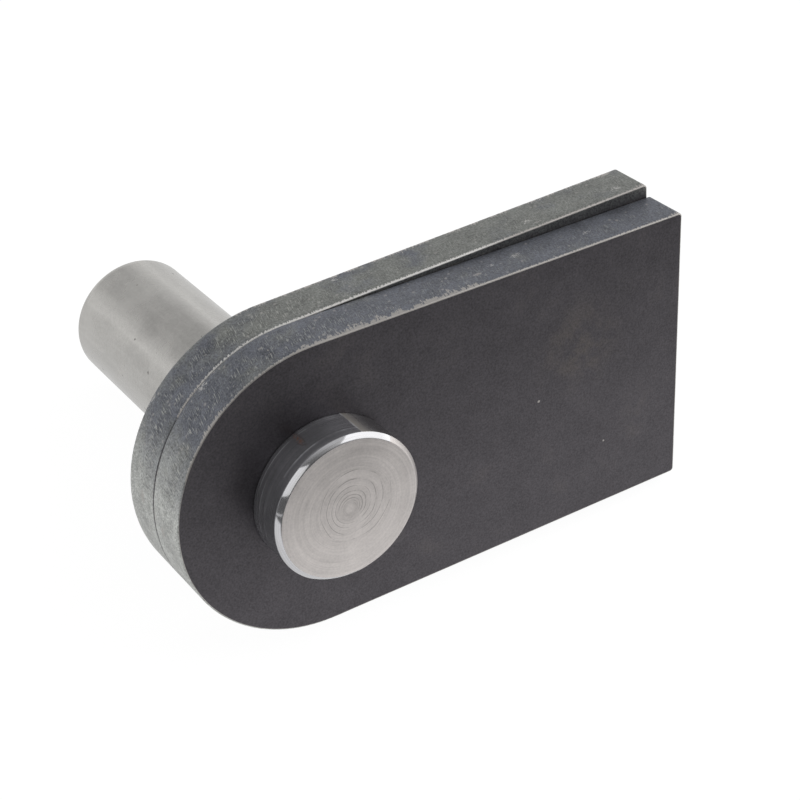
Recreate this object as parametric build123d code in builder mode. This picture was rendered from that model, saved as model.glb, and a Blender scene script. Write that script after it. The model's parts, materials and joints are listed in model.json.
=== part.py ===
from build123d import *
from math import asin, atan2, degrees, hypot, radians, tan
import os

# A weld-on cylinder mount: two like plates hang loose on one headed pin.
# It is modelled as it lies on a table, tipped back until the tip of its shank touches down.
# X runs along the plates towards their square weld ends, Y away from the pin's head, and Z is up.
# The origin is on the pin's axis, halfway along its free shank, where the centre of a cylinder's eye sits.
# All lengths are in millimetres and all angles in degrees.

# Plates
plate_width = 101.6
plate_thickness = 15.875
pin_axis_to_weld_end = 139.7
weld_corner_radius = 1.5
plate_edge_break = 0.5

# Pin
shank_diameter = 44.45
free_shank_length = 101.6
tip_chamfer = 1.5
head_overhang = 3.175
head_thickness = 14.3
head_chamfer = 1.5

# Fits
bore_clearance = 0.1
gap_between_faces = 0.1

# Radii
shank_radius = shank_diameter / 2
head_radius = shank_radius + head_overhang
bore_radius = shank_radius + bore_clearance
round_end_radius = plate_width / 2

# Places along the pin, measured from the middle of its free shank towards its head
tip = -free_shank_length / 2
rear_plate_back = free_shank_length / 2
front_plate_back = rear_plate_back + plate_thickness + gap_between_faces
head_seat = front_plate_back + plate_thickness + gap_between_faces
head_face = head_seat + head_thickness

# The pin leans until the rear plate's lower back edge and the corner of its own tip stand at one height.
foot_to_tip = free_shank_length + plate_edge_break - tip_chamfer
lean = degrees(atan2(round_end_radius - shank_radius, foot_to_tip))

# The rear plate stands level. The front one is higher up the slope of the pin by this much,
# so it turns about the pin until the rounded corner of its weld end comes down to the same table.
front_plate_lift = (plate_thickness + gap_between_faces) * tan(radians(lean))
corner_along = pin_axis_to_weld_end - weld_corner_radius
corner_below = round_end_radius - weld_corner_radius
corner_reach = hypot(corner_along, corner_below)
droop = degrees(asin((corner_below + front_plate_lift) / corner_reach) - atan2(corner_below, corner_along))

# The plane across the pin at the origin: its normal points along the pin towards the head.
eye_plane = Plane.XZ.rotated((-lean, 0, 0))


def across_pin(distance, turn=0):
    """Return the plane across the pin at a distance from the origin towards the head, turned about the pin."""
    return Plane(eye_plane.offset(distance).location * Rotation(0, 0, turn))


def weld_plate(back_face):
    """Build a plate on the plane of its back face: round about the pin, bored for it, square at the weld end."""
    with BuildPart() as plate:
        with BuildSketch(back_face) as outline:
            with BuildLine():
                Polyline(
                    (0, -round_end_radius),
                    (pin_axis_to_weld_end, -round_end_radius),
                    (pin_axis_to_weld_end, round_end_radius),
                    (0, round_end_radius),
                )
                ThreePointArc((0, round_end_radius), (-round_end_radius, 0), (0, -round_end_radius))
            make_face()
            fillet(outline.vertices().group_by(Axis.X)[-1], weld_corner_radius)
            Circle(bore_radius, mode=Mode.SUBTRACT)
        extrude(amount=plate_thickness)
        flat_faces = plate.faces().filter_by(back_face)
        chamfer(flat_faces.edges(), plate_edge_break)
    return plate


# The rear plate stands level on its long edge.
rear_plate = weld_plate(across_pin(rear_plate_back))
rear_plate.part.label = "rear_plate"

# The front plate is the same part, turned about the pin with its weld end down.
front_plate = weld_plate(across_pin(front_plate_back, -droop))
front_plate.part.label = "front_plate"

# The pin is turned from one bar. Its head bears on the front plate, and its shank runs on past the rear one.
with BuildPart() as pin:
    with BuildSketch(Plane(eye_plane.origin, x_dir=eye_plane.x_dir, z_dir=-eye_plane.y_dir)):
        with BuildLine():
            Polyline(
                (0, tip),
                (shank_radius - tip_chamfer, tip),
                (shank_radius, tip + tip_chamfer),
                (shank_radius, head_seat),
                (head_radius, head_seat),
                (head_radius, head_face - head_chamfer),
                (head_radius - head_chamfer, head_face),
                (0, head_face),
                close=True,
            )
        make_face()
    revolve(axis=Axis(eye_plane.origin, eye_plane.z_dir))
pin.part.label = "pin"

os.makedirs("parts", exist_ok=True)
export_step(rear_plate.part, "parts/rear_plate.step")
export_step(front_plate.part, "parts/front_plate.step")
export_step(pin.part, "parts/pin.step")
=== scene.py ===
# A weld-on cylinder mount: two dark cut plates hang loose on a bright headed pin that leans on its tip.
# Lengths are in metres and angles in radians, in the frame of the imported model.
# Each piece is made in bench axes: X along its plate, Y along the pin away from its head, and Z up its plate.
import json
from math import atan2, cos, exp, hypot, log, pi, radians, sin

import bmesh
import bpy
from bpy.props import FloatProperty, FloatVectorProperty, IntProperty, PointerProperty
from mathutils import Matrix, Vector
from mathutils.noise import noise


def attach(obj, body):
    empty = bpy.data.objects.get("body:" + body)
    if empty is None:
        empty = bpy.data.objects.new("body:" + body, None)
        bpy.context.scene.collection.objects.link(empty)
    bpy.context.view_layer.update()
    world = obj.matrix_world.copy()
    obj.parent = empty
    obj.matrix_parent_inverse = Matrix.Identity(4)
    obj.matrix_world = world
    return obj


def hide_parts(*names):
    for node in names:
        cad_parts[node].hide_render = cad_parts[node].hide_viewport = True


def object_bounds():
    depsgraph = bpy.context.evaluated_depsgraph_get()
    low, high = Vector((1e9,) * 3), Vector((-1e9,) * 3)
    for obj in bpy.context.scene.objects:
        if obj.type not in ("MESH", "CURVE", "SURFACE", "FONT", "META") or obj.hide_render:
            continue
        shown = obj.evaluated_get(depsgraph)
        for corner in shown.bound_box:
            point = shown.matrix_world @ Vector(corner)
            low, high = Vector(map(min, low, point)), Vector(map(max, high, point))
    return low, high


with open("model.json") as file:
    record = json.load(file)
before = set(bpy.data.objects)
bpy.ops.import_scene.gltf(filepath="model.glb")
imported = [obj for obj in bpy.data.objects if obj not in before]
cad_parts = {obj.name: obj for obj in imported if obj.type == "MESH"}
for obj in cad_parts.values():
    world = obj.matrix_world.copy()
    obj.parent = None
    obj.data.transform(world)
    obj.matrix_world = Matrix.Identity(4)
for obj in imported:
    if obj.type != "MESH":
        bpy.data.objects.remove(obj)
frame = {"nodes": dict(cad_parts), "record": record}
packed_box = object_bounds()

bl_info = {
    "name": "Weld-on cylinder mount",
    "version": (1, 0, 0),
    "blender": (4, 5, 0),
    "location": "View3D > Sidebar > Mount",
    "description": "Adds a pair of cut weld plates on a turned, headed pin, with a plain studio round them",
    "category": "Add Mesh",
}


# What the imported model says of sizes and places

record_mounts = {mount["name"]: mount for mount in frame["record"]["mounts"]}
to_tip = Vector(record_mounts["eye_seat"]["axis"])
shank_radius = record_mounts["eye_seat"]["dims"]["r_mm"] / 1000


def reach(node, direction):
    """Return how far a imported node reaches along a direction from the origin, lowest and highest."""
    places = [direction.dot(vertex.co) for vertex in frame["nodes"][node].data.vertices]
    return min(places), max(places)


def distances_from_axis(node):
    """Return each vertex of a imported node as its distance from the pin's axis and its place along it."""
    pairs = []
    for vertex in frame["nodes"][node].data.vertices:
        along = to_tip.dot(vertex.co)
        pairs.append(((vertex.co - along * to_tip).length, along))
    return pairs


def bench_axes(along_plate):
    """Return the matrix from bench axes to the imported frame, for a plate whose weld end points this way."""
    up_plate = along_plate.cross(to_tip)
    return Matrix((along_plate, to_tip, up_plate)).transposed().to_4x4()


rear_axes = bench_axes(Vector(record_mounts["rear_weld_end"]["axis"]))
front_axes = bench_axes(Vector(record_mounts["front_weld_end"]["axis"]))
along_rear = rear_axes.col[0].to_3d()
up_rear = rear_axes.col[2].to_3d()

plate_length = reach("rear_plate", along_rear)[1]
plate_radius = reach("rear_plate", up_rear)[1]
rear_front, rear_back = reach("rear_plate", to_tip)
plate_thickness = rear_back - rear_front
bore_radius = min(distance for distance, along in distances_from_axis("rear_plate"))

pin_tip = reach("pin", to_tip)[1]
head_front = reach("pin", to_tip)[0]
pin_places = distances_from_axis("pin")
head_radius = max(distance for distance, along in pin_places)
between_radii = (shank_radius + head_radius) / 2
head_seat = max(along for distance, along in pin_places if distance > between_radii)
pin_lean = atan2(-to_tip.z, to_tip.y)
table_height = packed_box[0].z

# Places along a plate's outline, from under the pin clockwise as seen from the head
left_end = plate_radius * pi / 2
top_start = plate_radius * pi
weld_corner = top_start + plate_length

# Vertices closer than this are merged.
merge_distance = 0.000002


# The sizes and colours that a user would change

class PlateFinish(bpy.types.PropertyGroup):
    corner_radius: FloatProperty(
        name="Weld corner radius", description="Rounding of the weld end's two corners, in outline",
        default=0.0015, unit="LENGTH", precision=4)
    edge_break: FloatProperty(
        name="Edge break", description="Rounding between the flats and the cut edge",
        default=0.0005, unit="LENGTH", precision=5)
    bore_break: FloatProperty(
        name="Bore break", description="Rounding at both mouths of the bore",
        default=0.0005, unit="LENGTH", precision=5)
    column_width: FloatProperty(
        name="Column width", description="Length of cut edge that one column of faces covers",
        default=0.0002, unit="LENGTH", precision=5)
    edge_rows: IntProperty(
        name="Edge rows", description="Rows of faces across the cut edge, without its rounded corners",
        default=9, min=2)
    cut_line_pitch: FloatProperty(
        name="Cut line pitch", description="Usual distance between the lines that the cutting jet left",
        default=0.0006, unit="LENGTH", precision=5)
    cut_line_depth: FloatProperty(
        name="Cut line depth", description="Depth of those lines",
        default=0.00004, unit="LENGTH", precision=6)
    cut_line_lag: FloatProperty(
        name="Cut line lag", description="How far a line falls behind along the edge, per unit of thickness",
        default=0.26)
    # Also painted along the cut edge's corners as shade, most in the groove between the plates.
    scale_colour: FloatVectorProperty(
        name="Scale colour", description="Colour of the mill scale on the flats",
        default=(0.101, 0.094, 0.103), subtype="COLOR", size=3)
    film_colour: FloatVectorProperty(
        name="Film colour", description="Colour of the thin brown film on the scale",
        default=(0.138, 0.122, 0.112), subtype="COLOR", size=3)
    # Painted light: the lower edge is painted this lighter colour to stand in for light from the floor.
    floor_lit_edge_colour: FloatVectorProperty(
        name="Low edge colour", description="Colour of the cut edge round the lower half of the round end",
        default=(0.540, 0.550, 0.530), subtype="COLOR", size=3)
    # Also the colour that the rear plate's flats are painted towards along their top, partly rubbed scale and
    # partly painted light.
    edge_colour: FloatVectorProperty(
        name="Edge colour", description="Colour of the rest of the untinted cut edge, and of thinned scale",
        default=(0.222, 0.229, 0.216), subtype="COLOR", size=3)
    blued_colour: FloatVectorProperty(
        name="Blued colour", description="Colour of the cut edge where heat tinted it",
        default=(0.148, 0.157, 0.183), subtype="COLOR", size=3)
    # Painted highlight: the colour of the glints painted on the cutting lines.
    glint_colour: FloatVectorProperty(
        name="Stroke colour", description="Colour of the cutting lines that stand out bright",
        default=(0.54, 0.54, 0.50), subtype="COLOR", size=3)
    worn_colour: FloatVectorProperty(
        name="Worn colour", description="Colour of bare steel along the corners, in nicks and in the bore",
        default=(0.46, 0.44, 0.42), subtype="COLOR", size=3)
    rubbed_colour: FloatVectorProperty(
        name="Rubbed colour", description="Colour of scrapes, and of the corner where the plates rub",
        default=(0.72, 0.71, 0.69), subtype="COLOR", size=3)


class PinFinish(bpy.types.PropertyGroup):
    head_chamfer: FloatProperty(
        name="Head chamfer", description="Chamfer round the head's face",
        default=0.0015, unit="LENGTH", precision=4)
    tip_chamfer: FloatProperty(
        name="Tip chamfer", description="Chamfer round the shank's tip",
        default=0.0015, unit="LENGTH", precision=4)
    corner_break: FloatProperty(
        name="Corner break", description="Small rounding left on each turned corner",
        default=0.00015, unit="LENGTH", precision=5)
    segments: IntProperty(
        name="Segments", description="Faces round the pin",
        default=256, min=24)
    face_step: FloatProperty(
        name="Face step", description="Distance between rows of vertices on the head's face",
        default=0.0002, unit="LENGTH", precision=5)
    side_step: FloatProperty(
        name="Side step", description="Distance between rows of vertices along the head's side and the shank",
        default=0.0016, unit="LENGTH", precision=5)
    ring_pitch: FloatProperty(
        name="Ring pitch", description="Feed of the facing cut, from one ring to the next",
        default=0.0009, unit="LENGTH", precision=5)
    ring_depth: FloatProperty(
        name="Ring depth", description="Depth of the rings that the facing cut left",
        default=0.000006, unit="LENGTH", precision=7)
    score_growth: FloatProperty(
        name="Score growth", description="How much further out each turn of the face's scored spiral lies",
        default=1.28)
    score_drift: FloatVectorProperty(
        name="Score drift", description="How far each turn's middle lies to the right and up, for its radius",
        default=(0.13, 0.0, 0.12), size=3)
    shank_colour: FloatVectorProperty(
        name="Shank colour", description="Colour of the ground shank",
        default=(0.48, 0.47, 0.45), subtype="COLOR", size=3)
    head_colour: FloatVectorProperty(
        name="Head colour", description="Colour of the head's faced end",
        default=(0.71, 0.67, 0.65), subtype="COLOR", size=3)
    # Also the colour of the painted highlight line on the head's side.
    bright_colour: FloatVectorProperty(
        name="Bright colour", description="Colour of the head's polished chamfer",
        default=(0.66, 0.66, 0.69), subtype="COLOR", size=3)
    side_colour: FloatVectorProperty(
        name="Side colour", description="Colour of the head's darker turned side",
        default=(0.36, 0.36, 0.38), subtype="COLOR", size=3)
    # Also the colour of the painted shade on the head's side, which stands in for the reflected plate.
    dark_mark_and_shade_colour: FloatVectorProperty(
        name="Groove colour", description="Colour of specks, stains and the scored line",
        default=(0.10, 0.09, 0.085), subtype="COLOR", size=3)
    film_colour: FloatVectorProperty(
        name="Film colour", description="Colour of the dull film left on part of the head's side",
        default=(0.40, 0.37, 0.32), subtype="COLOR", size=3)
    rust_colour: FloatVectorProperty(
        name="Rust colour", description="Colour of a rust smear",
        default=(0.150, 0.060, 0.035), subtype="COLOR", size=3)


class StageFinish(bpy.types.PropertyGroup):
    camera_place: FloatVectorProperty(
        name="Camera place", description="Where the camera stands",
        default=(-0.22016, -0.39850, 0.46921), subtype="TRANSLATION", unit="LENGTH", size=3, precision=5)
    camera_turn: FloatVectorProperty(
        name="Camera turn", description="How the camera is turned from looking straight down",
        default=(radians(43.565), radians(-4.406), radians(-32.922)),
        subtype="EULER", unit="ROTATION", size=3)
    camera_lens: FloatProperty(
        name="Camera lens", description="Focal length in millimetres on a 36 mm sensor",
        default=86.35)
    floor_size: FloatProperty(
        name="Floor size", description="Side of the square floor",
        default=8.0, unit="LENGTH")
    floor_colour: FloatVectorProperty(
        name="Floor colour", description="Colour of the lit floor, which carries the shadow",
        default=(0.85, 0.85, 0.85), subtype="COLOR", size=3)
    floor_glow: FloatProperty(
        name="Floor glow", description="Share of plain white in how the camera and reflections see the floor",
        default=0.86, subtype="FACTOR", min=0.0, max=1.0)
    tent_light: FloatProperty(
        name="Tent light", description="Strength of the world's light on the whole",
        default=0.59)
    horizon_light: FloatProperty(
        name="Horizon light", description="Strength of the world's light where it meets the table",
        default=1.15)
    dim_light: FloatProperty(
        name="Dim light", description="Strength that the world's light falls to low down in front",
        default=0.08)
    flag_distance: FloatProperty(
        name="Flag distance", description="How far in front of the mount the dark flag on the floor begins",
        default=0.14, unit="LENGTH")
    flag_size: FloatProperty(
        name="Flag size", description="Side of the square flag",
        default=2.4, unit="LENGTH")


# Nodes

def add_node(kind, inputs, tree=None, **settings):
    """Add a shader node, give it its settings, and set or link its inputs by name or number.

    It goes in the tree that is given, or else in the tree of the sockets linked to it.
    """
    linked = {key: value for key, value in inputs.items() if isinstance(value, bpy.types.NodeSocket)}
    tree = tree or list(linked.values())[0].id_data
    made = tree.nodes.new("ShaderNode" + kind)
    for name, value in settings.items():
        setattr(made, name, value)
    for key, value in inputs.items():
        if key in linked:
            tree.links.new(value, made.inputs[key])
        else:
            made.inputs[key].default_value = value
    return made


def connect(sockets, **values):
    """Link values to the sockets of these names, written with _ for a space."""
    for name, value in values.items():
        value.id_data.links.new(value, sockets[name.replace("_", " ")])


def maths(operation, first, *others):
    """Return the result of a Math node, folded over all the values."""
    if not others:
        return add_node("Math", {0: first}, operation=operation).outputs[0]
    for other in others:
        first = add_node("Math", {0: first, 1: other}, operation=operation).outputs[0]
    return first


def times(*values):
    """Return the product of the values."""
    return maths("MULTIPLY", *values)


def over(first, second):
    """Return the first value divided by the second."""
    return maths("DIVIDE", first, second)


def plus(*values):
    """Return the sum of the values."""
    return maths("ADD", *values)


def minus(first, second):
    """Return the first value less the second."""
    return maths("SUBTRACT", first, second)


def most(*values):
    """Return the largest of the values."""
    return maths("MAXIMUM", *values)


def swing(value, amount):
    """Return how far a noise value lies above its middle, times an amount."""
    return times(minus(value, 0.5), amount)


def fade(value, low, high, at_low=0.0, at_high=1.0):
    """Return a value that goes smoothly from one number to another as the input goes from low to high."""
    inputs = {0: value, 1: low, 2: high, 3: at_low, 4: at_high}
    return add_node("MapRange", inputs, interpolation_type="SMOOTHSTEP").outputs[0]


def between(value, start, end, blend):
    """Return 1 while a value is between two others, with a soft step of this width at each."""
    rise = fade(value, start - blend / 2, start + blend / 2)
    return times(rise, fade(value, end - blend / 2, end + blend / 2, 1.0, 0.0))


def opaque(colour):
    """Return a property's colour with full alpha, and a socket as it is."""
    return colour if isinstance(colour, bpy.types.NodeSocket) else (*colour, 1.0)


def mix_colours(share, first, second, blend_type="MIX"):
    """Return the second colour over the first by this share."""
    inputs = {0: share, 6: opaque(first), 7: opaque(second)}
    return add_node("Mix", inputs, data_type="RGBA", blend_type=blend_type).outputs[2]


def toned(colour, tone):
    """Return a colour made lighter or darker by a tone."""
    return mix_colours(1.0, colour, tone, "MULTIPLY")


def cloud(vector, scale, detail=2.0, roughness=0.5):
    """Return Perlin noise from 0 to 1."""
    inputs = {"Vector": vector, "Scale": scale, "Detail": detail, "Roughness": roughness}
    return add_node("TexNoise", inputs).outputs["Fac"]


def streaks(vector, scale, detail=3.0, roughness=0.6):
    """Return Perlin noise from 0 to 1 on a vector that is scaled each way by its own amount."""
    return cloud(stretched(vector, scale), 1.0, detail, roughness)


def split(vector):
    """Return the parts of a vector along X, Y and Z."""
    return add_node("SeparateXYZ", {0: vector}).outputs


def vector_maths(operation, first, second, output="Vector"):
    """Return the result of a Vector Math node."""
    return add_node("VectorMath", {0: first, 1: second}, operation=operation).outputs[output]


def stretched(vector, scale):
    """Return a vector scaled each way by its own amount."""
    return vector_maths("MULTIPLY", vector, scale)


def shifted(vector, shift):
    """Return a vector moved by a shift, so that two pieces of one material don't look alike."""
    return vector_maths("ADD", vector, shift)


def away_from(vector, place):
    """Return how far a vector lies from a place."""
    return vector_maths("DISTANCE", vector, place, "Value")


def from_axis(across, up):
    """Return how far a place lies from an axis, from its two distances across the axis."""
    return maths("SQRT", plus(times(across, across), times(up, up)))


def new_group(name, inputs, outputs):
    """Return a new node group and its input and output sockets. An input with no default is a vector."""
    tree = bpy.data.node_groups.new(name, "ShaderNodeTree")
    for label, default in inputs.items():
        kind = "NodeSocketVector" if default is None else "NodeSocketFloat"
        socket = tree.interface.new_socket(label, in_out="INPUT", socket_type=kind)
        if default is not None:
            socket.default_value = default
    for label in outputs:
        tree.interface.new_socket(label, in_out="OUTPUT", socket_type="NodeSocketFloat")
    return tree, tree.nodes.new("NodeGroupInput").outputs, tree.nodes.new("NodeGroupOutput").inputs


def mottle_group():
    """Make the soft patches and fine grain that any of the steel surfaces shows."""
    tree, given, result = new_group(
        "Mottle",
        {"Vector": None, "Patches": 30.0, "Grain": 1500.0, "Patch Contrast": 0.2, "Grain Contrast": 0.1},
        ("Tone", "Patch", "Fine"),
    )
    patch = cloud(given["Vector"], given["Patches"], 3.0, 0.55)
    fine = cloud(given["Vector"], given["Grain"], 2.0, 0.6)
    patch_tone = swing(patch, given["Patch Contrast"])
    fine_tone = swing(fine, given["Grain Contrast"])
    connect(result, Tone=plus(patch_tone, fine_tone, 1.0), Patch=patch, Fine=fine)
    return tree


def nicks_group():
    """Make a few small spots, scattered one to a cell and left out of the other cells."""
    tree, given, result = new_group(
        "Nicks",
        {"Vector": None, "Cells": 80.0, "Size": 0.03, "Share": 0.1},
        ("Mask",),
    )
    wobble = cloud(given["Vector"], times(given["Cells"], 12.0), 1.0)
    cells = add_node("TexVoronoi", {"Vector": given["Vector"], "Scale": given["Cells"]})
    drawn = add_node("SeparateColor", {0: cells.outputs["Color"]}).outputs
    size = times(given["Size"], wobble, plus(drawn[1], 1.0))
    inside = maths("LESS_THAN", cells.outputs["Distance"], size)
    chosen = maths("LESS_THAN", drawn[0], given["Share"])
    connect(result, Mask=times(inside, chosen))
    return tree


def cut_lines_group():
    """Make the lines that the cutting jet leaves across an edge, from a map of metres along and across it."""
    tree, given, result = new_group(
        "Cut lines",
        {"Map": None, "Pitch": 0.0006, "Length": 0.0030},
        ("Height", "Strength"),
    )
    along, across = split(given["Map"])[:2]
    half_pitch = times(given["Pitch"], 0.5)
    line_map = add_node("CombineXYZ", {
        0: over(along, half_pitch),
        1: over(across, given["Length"]),
    }).outputs[0]
    patch = streaks(given["Map"], (240.0, 260.0, 1.0))
    middle = fade(across, 0.0015, 0.0045, 0.3, 1.0)
    middle = times(middle, fade(across, 0.0085, 0.0135, 1.0, 0.3))
    strength = times(fade(patch, 0.38, 0.58, 0.1, 1.0), middle)
    connect(result, Height=cloud(line_map, 1.0, 1.0, 0.5), Strength=strength)
    return tree


def worn_corners_group():
    """Make bare steel along both corners of a cut edge: a solid line, and scuffs that thin out inwards."""
    tree, given, result = new_group(
        "Worn corners",
        {"Map": None, "Thickness": 0.016, "Front Line": 0.0006, "Front Reach": 0.0005,
         "Back Line": 0.0002, "Back Reach": 0.0005},
        ("Mask",),
    )
    across = split(given["Map"])[1]
    scuffs = streaks(given["Map"], (1500.0, 420.0, 1.0), 3.0, 0.65)
    patch = streaks(given["Map"], (150.0, 0.0, 1.0), 3.0, 0.65)
    ripple = streaks(given["Map"], (1400.0, 0.0, 1.0))
    masks = []
    for distance, side in ((across, "Front"), (minus(given["Thickness"], across), "Back")):
        line = times(given[side + " Line"], fade(ripple, 0.36, 0.64, 0.1, 1.8))
        masks.append(fade(minus(line, distance), -0.0001, 0.0001))
        reach_here = times(given[side + " Reach"], fade(patch, 0.36, 0.60, 0.2, 1.0))
        depth = over(distance, most(reach_here, 0.00005))
        limit = plus(times(depth, 0.20), 0.34)
        masks.append(fade(minus(scuffs, limit), 0.0, 0.06))
    connect(result, Mask=most(*masks))
    return tree


def turned_group():
    """Make the fine rings of a lathe cut, from the place along its feed and the turn about its axis."""
    tree, given, result = new_group(
        "Turning rings",
        {"Along Feed": 0.0, "Turn": 0.0, "Pitch": 0.0004},
        ("Height", "Streaks"),
    )
    ring_map = add_node("CombineXYZ", {
        0: over(given["Along Feed"], given["Pitch"]),
        1: times(maths("COSINE", given["Turn"]), 1.2),
        2: times(maths("SINE", given["Turn"]), 1.2),
    }).outputs[0]
    connect(result, Height=cloud(ring_map, 1.0, 2.0, 0.6),
            Streaks=cloud(ring_map, 0.31, 3.0, 0.55))
    return tree


# Each group is made when a material first uses it.
group_makers = {
    "Mottle": mottle_group,
    "Nicks": nicks_group,
    "Cut lines": cut_lines_group,
    "Worn corners": worn_corners_group,
    "Turning rings": turned_group,
}


def use_group(group_name, **inputs):
    """Return the output sockets of a shared group in a material, its inputs written with _ for a space."""
    group = bpy.data.node_groups.get(group_name) or group_makers[group_name]()
    named = {name.replace("_", " "): value for name, value in inputs.items()}
    return add_node("Group", named, node_tree=group).outputs


# Materials

def steel_material(name, **constants):
    """Return a new material, its node tree and its shader's sockets, with the constants set on them."""
    material = bpy.data.materials.new(name)
    material.use_nodes = True
    sockets = material.node_tree.nodes["Principled BSDF"].inputs
    for socket, value in constants.items():
        sockets[socket].default_value = value
    return material, material.node_tree, sockets


def own_place(tree):
    """Return where a point lies on the piece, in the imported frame."""
    return add_node("TexCoord", {}, tree).outputs["Object"]


def add_bump(sockets, height, distance, strength):
    """Let a height from 0 to 1 move the shading by this distance."""
    inputs = {"Height": height, "Distance": distance, "Strength": strength}
    connect(sockets, Normal=add_node("Bump", inputs).outputs[0])


def scale_material(name, finish, shift, top_rub_and_light):
    """Make the dark mill scale of a plate's flats, with a thin brown film and bright nicks.

    Top rub and light says how much lighter the flats are painted along the plate's top: partly rubbed scale,
    partly painted light on the strip that stands clear of the front plate's shade.
    """
    material, tree, sockets = steel_material(name, Metallic=0.85)
    flat_map = add_node("UVMap", {}, tree, uv_map="surface").outputs[0]
    place = shifted(own_place(tree), shift)
    mottle = use_group("Mottle", Vector=place, Patches=45.0, Grain=1500.0,
                       Patch_Contrast=0.32, Grain_Contrast=1.1)
    bloom = cloud(place, 130.0, 4.0, 0.65)

    film_place = (0.098, 0.016, 0.0)
    near = fade(away_from(flat_map, film_place), 0.002, 0.022, 1.0, 0.0)
    film = times(near, fade(bloom, 0.38, 0.62), 0.6)
    drift = times(fade(mottle["Patch"], 0.52, 0.70), fade(bloom, 0.45, 0.65), 0.2)
    colour = mix_colours(most(film, drift), finish.scale_colour, finish.film_colour)

    # Painted light and wear: the flats are lighter towards the plate's top, partly rubbed scale and partly
    # standing in for the light above the front plate's shade.
    up = split(flat_map)[1]
    lit_and_rubbed = times(fade(up, plate_radius - 0.007, plate_radius, 0.0, top_rub_and_light),
                    fade(mottle["Fine"], 0.35, 0.60, 0.45, 1.0))
    colour = mix_colours(lit_and_rubbed, colour, finish.edge_colour)
    colour = toned(colour, times(mottle["Tone"], fade(bloom, 0.3, 0.7, 0.93, 1.06)))

    nicks = use_group("Nicks", Vector=place, Cells=75.0, Size=0.036, Share=0.10)["Mask"]
    connect(sockets, Base_Color=mix_colours(nicks, colour, finish.worn_colour),
            Roughness=fade(bloom, 0.3, 0.7, 0.37, 0.41))
    add_bump(sockets, minus(mottle["Fine"], nicks), 0.000015, 0.6)
    return material


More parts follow.
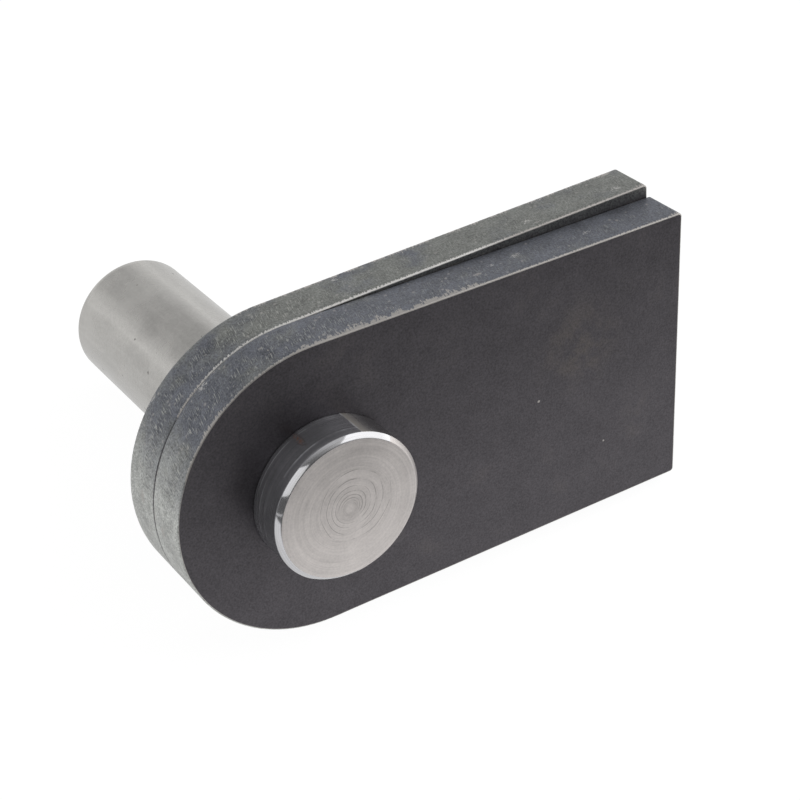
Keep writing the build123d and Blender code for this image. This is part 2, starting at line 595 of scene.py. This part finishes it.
def cut_edge_material(name, finish, shift, blued, wear):
    """Make a plate's cut edge: grey scale over fine leaning lines, worn to bare steel along its corners.

    Blued says how much of the edge heat has tinted, at the shoulder between the left end and the top, and
    along the top. Round the lower half of the round end and along the bottom the edge is painted lighter,
    standing in for light from the floor, and its cutting lines carry painted glints. Wear says where along
    the edge the front corner is worn or scuffed, how far that reaches, and how much painted shade darkens
    both corners where they aren't worn, most in the groove between the plates.
    """
    material, tree, sockets = steel_material(name)
    flat_map = add_node("UVMap", {}, tree, uv_map="surface").outputs[0]
    edge_map = shifted(flat_map, shift)
    place = shifted(own_place(tree), shift)
    along, across = split(flat_map)[:2]
    lines = use_group("Cut lines", Map=edge_map, Pitch=finish.cut_line_pitch)
    mottle = use_group("Mottle", Vector=place, Patches=150.0, Grain=1600.0,
                       Patch_Contrast=1.0, Grain_Contrast=1.9)
    clouds = cloud(place, 70.0, 3.0, 0.6)

    # Plain colour: painted lighter low down, standing in for light from the floor, and else part blued by
    # heat
    climbing = fade(along, left_end + 0.005, left_end + 0.036, 1.0, 0.0)
    returning = fade(along, weld_corner + 0.14, weld_corner + 0.23)
    low = most(climbing, returning)
    share = fade(along, top_start - 0.020, top_start + 0.010, blued["shoulder"], blued["top"])
    tinted = fade(plus(clouds, share), 0.85, 1.15)
    shade = mix_colours(tinted, finish.edge_colour, finish.blued_colour)
    shade = toned(mix_colours(low, shade, finish.floor_lit_edge_colour), mottle["Tone"])

    # Painted glints on the cutting lines, darker between them, thinning out along the top
    streaky = times(lines["Strength"], fade(low, 0.0, 1.0, 0.65, 0.85),
                    fade(along, top_start - 0.010, top_start + 0.040, 1.0, 0.45))
    painted_line_glints = times(fade(lines["Height"], 0.48, 0.70, -0.45, 1.0), streaky)
    shade = toned(shade, fade(times(painted_line_glints, -1.0), 0.0, 0.35, 1.0, 0.72))
    shade = mix_colours(most(painted_line_glints, 0.0), shade, finish.glint_colour)

    # Bright flecks of three kinds
    scratches = use_group("Nicks", Vector=stretched(edge_map, (0.45, 1.0, 1.0)),
                          Cells=260.0, Size=0.28, Share=0.14)["Mask"]
    dots = use_group("Nicks", Vector=edge_map, Cells=560.0, Size=0.34, Share=0.14)["Mask"]
    scrapes = use_group("Nicks", Vector=stretched(edge_map, (0.6, 1.0, 1.0)),
                        Cells=190.0, Size=0.25, Share=0.36)["Mask"]
    ragged = streaks(edge_map, (800.0, 2600.0, 1.0), 2.0)
    scrapes = times(scrapes, fade(ragged, 0.50, 0.55, 0.0, 0.75))
    flecks = most(times(scratches, 0.75), times(dots, 0.5), scrapes)

    # Painted shade along both corners, most in the groove between the plates, up to where they are worn
    unworn = most(returning, fade(along, wear["line_from"] - 0.014, wear["line_from"], 1.0, 0.0))
    corners = most(fade(across, 0.0002, 0.0005, wear["corner_shade_front"], 0.0),
                   fade(across, plate_thickness - 0.0005, plate_thickness - 0.0002, 0.0, wear["corner_shade_back"]))
    patchy = fade(streaks(edge_map, (700.0, 0.0, 1.0), 2.0), 0.3, 0.6, 0.5, 1.0)
    shade = mix_colours(times(unworn, corners, patchy), shade, finish.scale_colour)

    # Worn corners
    lined = fade(along, wear["line_from"] - 0.002, wear["line_from"] + 0.002)
    widened = between(along, wear["wide_from"], wear["wide_to"], 0.003)
    scuffed = between(along, wear["scuffed_from"], wear["scuffed_to"], 0.024)
    knocked = between(along, weld_corner - 0.002, weld_corner + 0.007, 0.003)
    line = plus(times(lined, wear["line"]), times(widened, wear["wider_by"]),
                times(knocked, 0.0006))
    front_reach = times(lined, fade(scuffed, 0.0, 1.0, 0.0005, wear["scuffs"]))
    back_reach = fade(along, top_start - 0.014, top_start - 0.004, 0.0, wear["back_scuffs"])
    worn = use_group("Worn corners", Map=flat_map, Thickness=plate_thickness, Front_Line=line,
                     Front_Reach=front_reach, Back_Line=0.0, Back_Reach=back_reach)["Mask"]

    bare = most(worn, flecks)
    rubbed = times(between(along, wear["rubbed_from"], wear["rubbed_to"], 0.020),
                   fade(across, 0.0008, 0.0012, 1.0, 0.0))
    steel = mix_colours(most(rubbed, scrapes), finish.worn_colour, finish.rubbed_colour)
    connect(sockets, Base_Color=mix_colours(bare, shade, steel),
            Metallic=fade(bare, 0.0, 1.0, 0.55, 1.0),
            Roughness=fade(mottle["Patch"], 0.3, 0.7, 0.42, 0.52))
    add_bump(sockets, times(lines["Height"], lines["Strength"]), 0.00003, 0.9)
    return material


def bore_material(finish):
    """Make the bored wall of a plate, bare and lightly oiled."""
    material, tree, sockets = steel_material("Bored steel", Metallic=1.0)
    mottle = use_group("Mottle", Vector=own_place(tree), Patches=60.0)
    connect(sockets, Base_Color=toned(finish.worn_colour, mottle["Tone"]),
            Roughness=fade(mottle["Fine"], 0.3, 0.7, 0.3, 0.4))
    return material


def pin_place(tree):
    """Return a point in the pin's bench axes, its distance from the axis, its turn and its place along it."""
    turned_back = {"Vector": own_place(tree), "Rotation": (pin_lean, 0.0, 0.0)}
    point = add_node("Mapping", turned_back).outputs[0]
    across, along, up = split(point)
    return {
        "point": point,
        "distance": from_axis(across, up),
        "turn": maths("ARCTAN2", up, across),
        "along": along,
    }


def on_head(turn, along):
    """Return the place on the head's side at a turn about the pin and a place along it, in bench axes."""
    return head_radius * cos(turn), along, head_radius * sin(turn)


def shank_material(finish):
    """Make the shank's satin steel, softly clouded and brushed lengthwise, with a few dark specks."""
    material, tree, sockets = steel_material("Ground shank", Metallic=1.0)
    point = pin_place(tree)["point"]
    mottle = use_group("Mottle", Vector=point, Patches=60.0, Grain=900.0,
                       Patch_Contrast=0.42, Grain_Contrast=0.22)
    brushed = streaks(point, (420.0, 45.0, 420.0))
    specks = use_group("Nicks", Vector=point, Cells=120.0, Size=0.075, Share=0.85)["Mask"]
    colour = toned(finish.shank_colour, plus(mottle["Tone"], swing(brushed, 0.22)))
    connect(sockets,
            Base_Color=mix_colours(times(specks, 0.60), colour, finish.dark_mark_and_shade_colour),
            Roughness=fade(mottle["Patch"], 0.3, 0.7, 0.20, 0.30))
    add_bump(sockets, brushed, 0.00002, 0.5)
    return material


def head_side_material(finish):
    """Make the head's glossy turned side: uneven rings, pale streaks, a dull film edged by a painted
    highlight, painted shade for the dark plate it reflects, and rust.
    """
    material, tree, sockets = steel_material("Turned head side")
    place = pin_place(tree)
    point = place["point"]
    turn = place["turn"]
    mottle = use_group("Mottle", Vector=point, Patches=120.0, Grain=1200.0,
                       Patch_Contrast=0.6, Grain_Contrast=0.3)
    rings = use_group("Turning rings", Along_Feed=place["along"], Turn=turn, Pitch=0.0004)
    pale = times(fade(rings["Streaks"], 0.52, 0.68),
                 fade(mottle["Patch"], 0.42, 0.60, 0.2, 1.0))
    pale = plus(times(pale, 0.55), 0.30)

    # The film begins at a painted highlight line along the side, and fades out to the right into the painted
    # shade.
    film_line = radians(72)
    film = times(fade(turn, film_line, film_line + radians(2), 1.0, 0.0),
                 fade(turn, film_line - radians(14), film_line, 0.0, 0.7))
    # Painted highlight: a thin bright line along the side, where the side's reflection changes.
    painted_highlight_line = times(between(turn, film_line, film_line + radians(1.5), radians(1.2)),
                         fade(cloud(point, 260.0, 2.0, 0.5), 0.35, 0.60, 0.1, 0.7))
    # Painted shade: the side's right part is darkened to stand in for the dark plate reflected in it.
    painted_plate_reflection = times(between(turn, radians(25), radians(62), radians(14)), 0.7)

    # A rust smear, long the way the pin runs
    lengthwise = (1.0, 0.28, 1.0)
    rust_middle = Vector(on_head(radians(111), head_seat - 0.0035)) * Vector(lengthwise)
    off_rust = away_from(stretched(point, lengthwise), rust_middle)
    rust = fade(off_rust, 0.0002, 0.0016, 1.0, 0.0)
    rust = times(rust, fade(cloud(point, 700.0, 3.0, 0.6), 0.40, 0.50), 0.85)

    colour = toned(finish.side_colour, mottle["Tone"])
    for share, cover in (
        (fade(rings["Streaks"], 0.30, 0.50, 0.22, 0.0), finish.dark_mark_and_shade_colour),
        (painted_plate_reflection, finish.dark_mark_and_shade_colour),
        (film, finish.film_colour),
        (rust, finish.rust_colour),
        (painted_highlight_line, finish.bright_colour),
    ):
        colour = mix_colours(share, colour, cover)
    connect(sockets, Base_Color=colour,
            Metallic=minus(1.0, most(pale, film, painted_highlight_line, rust)),
            Roughness=fade(mottle["Patch"], 0.3, 0.7, 0.14, 0.24))
    add_bump(sockets, plus(rings["Height"], times(rings["Streaks"], 3.0)), 0.000045, 0.8)
    return material


def chamfer_material(finish):
    """Make the head's chamfer, mirror-bright on one side and as satin as the face on the other."""
    material, tree, sockets = steel_material("Bright chamfer", Metallic=0.85)
    place = pin_place(tree)
    rings = use_group("Turning rings", Along_Feed=place["distance"], Turn=place["turn"], Pitch=0.0002)
    from_right = maths("ABSOLUTE", plus(place["turn"], radians(20)))
    satin = fade(from_right, radians(66), radians(69), 1.0, 0.0)
    streaky = fade(rings["Height"], 0.3, 0.7, 0.0, 0.55)
    colour = mix_colours(streaky, finish.bright_colour, finish.shank_colour)
    rough = fade(rings["Height"], 0.3, 0.7, 0.08, 0.13)
    connect(sockets, Base_Color=mix_colours(satin, colour, finish.head_colour),
            Roughness=plus(rough, times(satin, 0.3)))
    add_bump(sockets, rings["Streaks"], 0.00002, 0.4)
    return material


def scored_spiral(finish, place):
    """Return a thin spiral line that winds out from the middle of the head's face, and drifts as it does."""
    point = place["point"]
    drift_inputs = {0: finish.score_drift, 3: place["distance"]}
    drift = add_node("VectorMath", drift_inputs, operation="SCALE").outputs[0]
    drifted = split(vector_maths("SUBTRACT", point, drift))
    across, up = drifted[0], drifted[2]
    sway = fade(cloud(point, 90.0, 1.0), 0.3, 0.7, 0.95, 1.05)
    radius = times(from_axis(across, up), sway)
    growth = log(finish.score_growth)
    turns_out = over(maths("LOGARITHM", radius, exp(1)), growth)
    turns_round = over(maths("ARCTAN2", up, across), 2 * pi)
    winding = maths("FRACT", minus(turns_out, turns_round))
    off_line = times(maths("ABSOLUTE", minus(winding, 0.5)), radius, growth)
    line = fade(off_line, 0.00003, 0.00015, 1.0, 0.0)
    visible = fade(cloud(point, 150.0, 3.0, 0.6), 0.38, 0.58, 0.1, 1.0)
    return times(line, visible, between(radius, 0.0017, 0.0135, 0.001))


def head_face_material(finish):
    """Make the faced end of the head: fine rings, cloudy steel, and a thin scored spiral round the middle."""
    material, tree, sockets = steel_material("Faced head", Metallic=1.0)
    place = pin_place(tree)
    distance = place["distance"]
    mottle = use_group("Mottle", Vector=place["point"], Patches=110.0, Grain=1300.0,
                       Patch_Contrast=0.45, Grain_Contrast=0.30)
    rings = use_group("Turning rings", Along_Feed=distance, Turn=place["turn"], Pitch=0.0003)
    scored = scored_spiral(finish, place)
    tone = plus(mottle["Tone"], swing(rings["Height"], 0.25), swing(rings["Streaks"], 0.35))
    tone = times(tone, fade(distance, 0.0022, 0.0060, 0.88, 1.0))
    tone = plus(tone, fade(distance, 0.0008, 0.0018, 0.12, 0.0))
    colour = toned(finish.head_colour, tone)
    connect(sockets,
            Base_Color=mix_colours(times(scored, 0.50), colour, finish.dark_mark_and_shade_colour),
            Roughness=fade(mottle["Patch"], 0.3, 0.7, 0.32, 0.40))
    add_bump(sockets, minus(rings["Height"], scored), 0.000010, 0.7)
    return material


# Meshes

# The order of the materials on a plate and on the pin
plate_flats, plate_edge, plate_bore = range(3)
pin_shank, pin_side, pin_chamfer, pin_face = range(4)


def new_object(name, bm, materials):
    """Return a new object at the origin, with this mesh and these materials."""
    mesh = bpy.data.meshes.new(name)
    bm.to_mesh(mesh)
    bm.free()
    for material in materials:
        mesh.materials.append(material)
    thing = bpy.data.objects.new(name, mesh)
    bpy.context.scene.collection.objects.link(thing)
    return thing


def finish_piece(name, bm, axes, materials, body):
    """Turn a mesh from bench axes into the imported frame, and make it the piece that stands for its node."""
    bmesh.ops.transform(bm, matrix=axes, verts=bm.verts[:])
    piece = new_object(name, bm, materials)
    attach(piece, body)
    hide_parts(body)


def outline_runs(corner_radius):
    """Return a plate's outline as arcs, each with its radius, its turn and the straight run that follows.

    It starts under the pin and goes clockwise as seen from the head: round the pin, along the top, down the
    weld end and back along the bottom.
    """
    side = plate_length - corner_radius
    end = 2 * (plate_radius - corner_radius)
    return (plate_radius, pi, side), (corner_radius, pi / 2, end), (corner_radius, pi / 2, side)


def outline_length(corner_radius):
    """Return the length of a plate's outline."""
    return sum(radius * turn + run for radius, turn, run in outline_runs(corner_radius))


def walk_outline(along, corner_radius):
    """Return the point and the outward direction this far round a plate's outline."""
    heading = -pi / 2
    point = Vector((0.0, -plate_radius))
    for radius, turn, run in outline_runs(corner_radius):
        centre = point - radius * Vector((cos(heading), sin(heading)))
        if along <= radius * turn:
            outward = Vector((cos(heading - along / radius), sin(heading - along / radius)))
            return centre + radius * outward, outward
        along -= radius * turn
        heading -= turn
        outward = Vector((cos(heading), sin(heading)))
        forward = Vector((sin(heading), -cos(heading)))
        if along <= run:
            return centre + radius * outward + along * forward, outward
        along -= run
        point = centre + radius * outward + run * forward
    return point, outward


def edge_section(thickness, edge_break, rows, corner_steps=3):
    """Return the section of a cut edge from its front corner to its back one, as pairs of inset and depth."""
    turns = [pi / 2 * step / corner_steps for step in range(corner_steps + 1)]
    front = [(edge_break * (1 - sin(turn)), edge_break * (1 - cos(turn))) for turn in turns]
    span = thickness - 2 * edge_break
    middle = [(0.0, edge_break + span * row / rows) for row in range(1, rows)]
    back = [(inset, thickness - depth) for inset, depth in reversed(front)]
    return front + middle + back


def cut_depth(along, depth, finish, seed):
    """Return how deep the cutting jet's lines and its slow wander go into the edge at a place."""
    line_length = 0.006
    patch_along, patch_across = 0.008, 0.007
    wander_along, wander_across = 0.012, 0.020
    fine = noise(Vector((along / finish.cut_line_pitch, depth / line_length, seed)))
    patch = 0.5 + 0.5 * noise(Vector((along / patch_along, depth / patch_across, seed + 7.0)))
    wander = 0.5 + 0.5 * noise(Vector((along / wander_along, depth / wander_across, seed + 13.0)))
    return finish.cut_line_depth * ((0.5 + fine) * (0.35 + patch) + wander + 0.2)


def dress_faces(faces, surface, smooth, material_index):
    """Give faces their shading and material, and map them in metres along and up the plate."""
    for face in faces:
        face.smooth = smooth
        face.material_index = material_index
        for loop in face.loops:
            loop[surface].uv = (loop.vert.co.x, loop.vert.co.z)


def make_plate(name, node, axes, materials, seed):
    """Make a cut plate: a strip laid round its outline as the cut edge, a spun bore, and flats between."""
    finish = bpy.context.scene.mount_plates
    front, back = reach(node, to_tip)
    thickness = back - front
    outline = outline_length(finish.corner_radius)
    section = edge_section(thickness, finish.edge_break, finish.edge_rows)
    rows = len(section) - 1
    columns = round(outline / finish.column_width)
    bm = bmesh.new()
    surface = bm.loops.layers.uv.new("surface")

    # The strip: its map is in metres along and across, and its columns lean as the cutting lines do.
    seam_width = 0.002
    bmesh.ops.create_grid(bm, x_segments=columns, y_segments=rows, size=0.5)
    for face in bm.faces:
        face.smooth = True
        face.material_index = plate_edge
        for loop in face.loops:
            row = round((loop.vert.co.y + 0.5) * rows)
            loop[surface].uv = ((loop.vert.co.x + 0.5) * outline, section[row][1])
    for vertex in bm.verts:
        along = (vertex.co.x + 0.5) * outline
        row = round((vertex.co.y + 0.5) * rows)
        inset, depth = section[row]
        leaning = along + finish.cut_line_lag * (depth - thickness / 2)
        point, outward = walk_outline(leaning % outline, finish.corner_radius)
        seam_fade = min(1.0, min(along, outline - along) / seam_width)
        inset += seam_fade * cut_depth(along, depth, finish, seed)
        vertex.co = (point.x - inset * outward.x, front + depth, point.y - inset * outward.y)
    bmesh.ops.remove_doubles(bm, verts=bm.verts[:], dist=merge_distance)

    # The bore
    strip = set(bm.faces)
    corners = [bm.verts.new((bore_radius + away, place, 0.0)) for away, place in (
        (finish.bore_break, front), (0.0, front), (0.0, back), (finish.bore_break, back))]
    for pair in zip(corners, corners[1:]):
        bm.edges.new(pair)
    bmesh.ops.bevel(bm, geom=corners[1:3], affect="VERTICES", offset=finish.bore_break, segments=3,
                    profile=0.5, material=-1)
    profile = [vertex for vertex in bm.verts if not vertex.link_faces]
    profile += [edge for edge in bm.edges if not edge.link_faces]
    bmesh.ops.spin(bm, geom=profile, cent=(0, 0, 0), axis=(0, 1, 0), angle=2 * pi, steps=128, use_merge=True)
    dress_faces([face for face in bm.faces if face not in strip], surface, True, plate_bore)

    # The flats
    middle = (front + back) / 2
    rims = [edge for edge in bm.edges if edge.is_boundary]
    for side in (
        [edge for edge in rims if edge.verts[0].co.y < middle],
        [edge for edge in rims if edge.verts[0].co.y > middle],
    ):
        filled = bmesh.ops.triangle_fill(bm, use_beauty=True, edges=side)["geom"]
        flats = [part for part in filled if isinstance(part, bmesh.types.BMFace)]
        dress_faces(flats, surface, False, plate_flats)
    bmesh.ops.recalc_face_normals(bm, faces=bm.faces[:])
    finish_piece(name, bm, axes, materials, node)


def ring_depth(distance, turn, finish):
    """Return how deep the facing cut's winding ring goes at a place on the head's face."""
    winding = distance / finish.ring_pitch - turn / (2 * pi)
    return finish.ring_depth * (0.5 - 0.5 * cos(2 * pi * winding))


def make_pin(name, materials):
    """Make the pin: one profile, its corners broken, spun round the pin's axis."""
    finish = bpy.context.scene.mount_pin
    bm = bmesh.new()
    profile = (
        (0.0, head_front),
        (head_radius - finish.head_chamfer, head_front),
        (head_radius, head_front + finish.head_chamfer),
        (head_radius, head_seat),
        (shank_radius, head_seat),
        (shank_radius, pin_tip - finish.tip_chamfer),
        (shank_radius - finish.tip_chamfer, pin_tip),
        (0.0, pin_tip),
    )
    corners = [bm.verts.new((distance, along, 0.0)) for distance, along in profile]
    for pair in zip(corners, corners[1:]):
        bm.edges.new(pair)
    bmesh.ops.bevel(bm, geom=corners[1:-1], affect="VERTICES", offset=finish.corner_break, segments=2,
                    profile=0.5, material=-1)
    for edge in bm.edges[:]:
        on_end = abs(edge.verts[0].co.y - edge.verts[1].co.y) < finish.corner_break / 10
        on_face = on_end and edge.verts[0].co.y < head_seat - finish.head_chamfer
        cuts = int(edge.calc_length() / (finish.face_step if on_face else finish.side_step))
        if cuts:
            bmesh.ops.subdivide_edges(bm, edges=[edge], cuts=cuts)
    bmesh.ops.spin(bm, geom=bm.verts[:] + bm.edges[:], cent=(0, 0, 0), axis=(0, 1, 0), angle=2 * pi,
                   steps=finish.segments, use_merge=True)
    bmesh.ops.remove_doubles(bm, verts=bm.verts[:], dist=merge_distance)
    bmesh.ops.recalc_face_normals(bm, faces=bm.faces[:])
    face_edge = head_radius - finish.head_chamfer - finish.corner_break
    for face in bm.faces:
        face.smooth = True
        middle = face.calc_center_median()
        distance = hypot(middle.x, middle.z)
        if middle.y < head_front + finish.corner_break and distance < face_edge:
            face.material_index = pin_face
        elif middle.y < head_front + finish.head_chamfer - finish.corner_break / 2:
            face.material_index = pin_chamfer
        elif middle.y < head_seat + finish.corner_break:
            face.material_index = pin_side
        else:
            face.material_index = pin_shank
    for vertex in bm.verts:
        distance = hypot(vertex.co.x, vertex.co.z)
        if vertex.co.y < head_front + finish.corner_break / 10 and 0 < distance < face_edge:
            vertex.co.y += ring_depth(distance, atan2(vertex.co.z, vertex.co.x), finish)
    finish_piece(name, bm, rear_axes, materials, "pin")


# Stage

# How bright the floor looks, to the camera and in reflections
floor_seen = 1.10
floor_reflected = 0.90


def bare_tree(holder):
    """Return the node tree of a new material or world, with nothing in it."""
    holder.use_nodes = True
    holder.node_tree.nodes.clear()
    return holder.node_tree


def glow(kind, strength):
    """Return a shader that shines white with this strength."""
    inputs = {"Color": (1.0, 1.0, 1.0, 1.0), "Strength": strength}
    return add_node(kind, inputs).outputs[0]


def show(shader, output="OutputMaterial"):
    """Link a shader to a new output."""
    add_node(output, {"Surface": shader})


def add_square(name, size, place, material):
    """Add a level square that isn't part of the mount."""
    bm = bmesh.new()
    bmesh.ops.create_grid(bm, x_segments=1, y_segments=1, size=size / 2)
    bmesh.ops.translate(bm, verts=bm.verts[:], vec=place)
    thing = new_object(name, bm, [material])
    return thing


def add_floor(finish):
    """Add the floor. The camera and reflections see it near white, and it keeps the mount's soft shadow."""
    material = bpy.data.materials.new("White floor")
    tree = bare_tree(material)
    path = add_node("LightPath", {}, tree).outputs
    seen = plus(path["Is Camera Ray"], path["Is Glossy Ray"], path["Is Transmission Ray"])
    share = times(maths("MINIMUM", seen, 1.0), finish.floor_glow)
    paper = add_node("BsdfDiffuse", {"Color": opaque(finish.floor_colour)}, tree).outputs[0]
    white = glow("Emission", fade(path["Is Camera Ray"], 0.0, 1.0, floor_reflected, floor_seen))
    show(add_node("MixShader", {0: share, 1: paper, 2: white}).outputs[0])
    add_square("floor", finish.floor_size, (0.0, 0.0, table_height), material)


def add_dark_flag(finish):
    """Lay a dark flag on the floor before the mount. Only reflections see it, as the table's dark front."""
    material = bpy.data.materials.new("Dark flag")
    place = own_place(bare_tree(material))
    left_to_right = split(place)[0]
    forwards = (0.10, -0.995, 0.0)
    out = vector_maths("DOT_PRODUCT", place, forwards, "Value")
    near = times(fade(out, finish.flag_distance, finish.flag_distance + 0.20),
                 fade(left_to_right, -0.32, -0.10), fade(left_to_right, -0.02, 0.26, 0.95, 0.1))
    far = times(fade(out, 0.24, 0.36), fade(left_to_right, -0.3, 0.1, 1.0, 0.75))
    darkest = 0.10
    strength = fade(most(near, far), 0.0, 1.0, floor_reflected, darkest)
    show(glow("Emission", strength))
    just_above = table_height + 0.002
    middle = (0.0, -finish.flag_distance - finish.flag_size / 2, just_above)
    flag = add_square("dark_flag", finish.flag_size, middle, material)
    flag.visible_camera = False
    flag.visible_diffuse = False
    flag.visible_shadow = False
    flag.visible_transmission = False


def add_world(finish):
    """Light the mount with a pale tent, brightest where it meets the table and dim in front."""
    world = bpy.data.worlds.new("Tent")
    bpy.context.scene.world = world
    direction = add_node("TexCoord", {}, bare_tree(world)).outputs["Generated"]
    up = split(direction)[2]
    strength = fade(up, 0.0, 0.32, finish.horizon_light, finish.tent_light)
    dim_side = (-0.45, -0.87, 0.20)
    to_front = vector_maths("DOT_PRODUCT", direction, dim_side, "Value")
    dimmed = times(minus(strength, finish.dim_light), fade(to_front, 0.30, 0.80))
    show(glow("Background", minus(strength, dimmed)), "OutputWorld")


def add_softbox(name, direction, distance, size, power):
    """Add a square area light that shines on the mount from a direction."""
    light = bpy.data.lights.new(name, "AREA")
    light.shape = "SQUARE"
    light.size = size
    light.energy = power
    box = bpy.data.objects.new(name, light)
    aim = Vector((plate_length / 3, 0.0, 0.0))
    place = aim + distance * Vector(direction).normalized()
    box.location = place
    box.rotation_euler = (aim - place).to_track_quat("-Z", "Y").to_euler()
    bpy.context.scene.collection.objects.link(box)


def add_camera(finish):
    """Add the camera at the photograph's angle."""
    data = bpy.data.cameras.new("camera")
    data.lens = finish.camera_lens
    data.sensor_width = 36.0
    data.clip_start = 0.01
    camera = bpy.data.objects.new("camera", data)
    camera.location = finish.camera_place
    camera.rotation_euler = finish.camera_turn
    bpy.context.scene.collection.objects.link(camera)
    bpy.context.scene.camera = camera


# Operators

class AddWeldPlates(bpy.types.Operator):
    """Add the rear and the front weld plate"""
    bl_idname = "mount.add_weld_plates"
    bl_label = "Weld plates"

    def execute(self, context):
        finish = context.scene.mount_plates
        rear_blued = {"shoulder": 0.58, "top": 0.36}
        rear_wear = {
            "line_from": 0.119, "line": 0.0006,
            "wide_from": 0.160, "wide_to": 0.235, "wider_by": 0.0001,
            "scuffed_from": 0.172, "scuffed_to": 0.240, "scuffs": 0.0006,
            "rubbed_from": 0.132, "rubbed_to": 0.240, "back_scuffs": 0.0016,
            "corner_shade_front": 0.9, "corner_shade_back": 0.8,
        }
        front_blued = {"shoulder": 0.60, "top": 0.72}
        front_wear = {
            "line_from": 0.104, "line": 0.0005,
            "wide_from": 0.117, "wide_to": 0.128, "wider_by": 0.0005,
            "scuffed_from": 0.158, "scuffed_to": 0.222, "scuffs": 0.0036,
            "rubbed_from": 0.100, "rubbed_to": 0.100, "back_scuffs": 0.0004,
            "corner_shade_front": 0.0, "corner_shade_back": 0.9,
        }
        bore = bore_material(finish)
        rear = (
            scale_material("Rear plate scale", finish, (0.31, 0.0, 0.17), top_rub_and_light=0.8),
            cut_edge_material("Rear plate cut edge", finish, (0.23, 0.0, 0.0), rear_blued, rear_wear),
            bore,
        )
        front = (
            scale_material("Front plate scale", finish, (0.0, 0.0, 0.0), top_rub_and_light=0.0),
            cut_edge_material("Front plate cut edge", finish, (0.0, 0.0, 0.0), front_blued, front_wear),
            bore,
        )
        make_plate("rear_weld_plate", "rear_plate", rear_axes, rear, seed=3.0)
        make_plate("front_weld_plate", "front_plate", front_axes, front, seed=31.0)
        return {"FINISHED"}


class AddHeadedPin(bpy.types.Operator):
    """Add the turned pin with its head"""
    bl_idname = "mount.add_headed_pin"
    bl_label = "Headed pin"

    def execute(self, context):
        finish = context.scene.mount_pin
        make_pin("headed_pin", [
            make(finish)
            for make in (shank_material, head_side_material, chamfer_material, head_face_material)
        ])
        return {"FINISHED"}


class AddStage(bpy.types.Operator):
    """Add the floor, the light and the camera"""
    bl_idname = "mount.add_stage"
    bl_label = "Stage"

    def execute(self, context):
        finish = context.scene.mount_stage
        add_floor(finish)
        add_dark_flag(finish)
        add_world(finish)
        add_softbox("right_light", direction=(0.80, -0.23, 0.56), distance=1.5, size=1.5, power=7.2)
        add_softbox("left_light", direction=(-0.63, -0.52, 0.58), distance=1.2, size=0.7, power=1.45)
        add_camera(finish)
        return {"FINISHED"}


class MountPanel(bpy.types.Panel):
    """Lists the pieces of the mount, its stage and their settings"""
    bl_idname = "VIEW3D_PT_mount"
    bl_label = "Cylinder mount"
    bl_space_type = "VIEW_3D"
    bl_region_type = "UI"
    bl_category = "Mount"

    def draw(self, context):
        scene = context.scene
        for operator, settings in (
            (AddWeldPlates, scene.mount_plates),
            (AddHeadedPin, scene.mount_pin),
            (AddStage, scene.mount_stage),
        ):
            box = self.layout.box()
            box.operator(operator.bl_idname)
            for name in settings.bl_rna.properties.keys():
                if name not in {"name", "rna_type"}:
                    box.prop(settings, name)


classes = (PlateFinish, PinFinish, StageFinish, AddWeldPlates, AddHeadedPin, AddStage, MountPanel)


def register():
    for item in classes:
        bpy.utils.register_class(item)
    bpy.types.Scene.mount_plates = PointerProperty(type=PlateFinish)
    bpy.types.Scene.mount_pin = PointerProperty(type=PinFinish)
    bpy.types.Scene.mount_stage = PointerProperty(type=StageFinish)


def unregister():
    del bpy.types.Scene.mount_stage
    del bpy.types.Scene.mount_pin
    del bpy.types.Scene.mount_plates
    for item in reversed(classes):
        bpy.utils.unregister_class(item)


def main():
    register()
    bpy.context.scene.view_settings.view_transform = "Standard"
    bpy.ops.mount.add_weld_plates()
    bpy.ops.mount.add_headed_pin()
    bpy.ops.mount.add_stage()


if __name__ == "__main__":
    main()
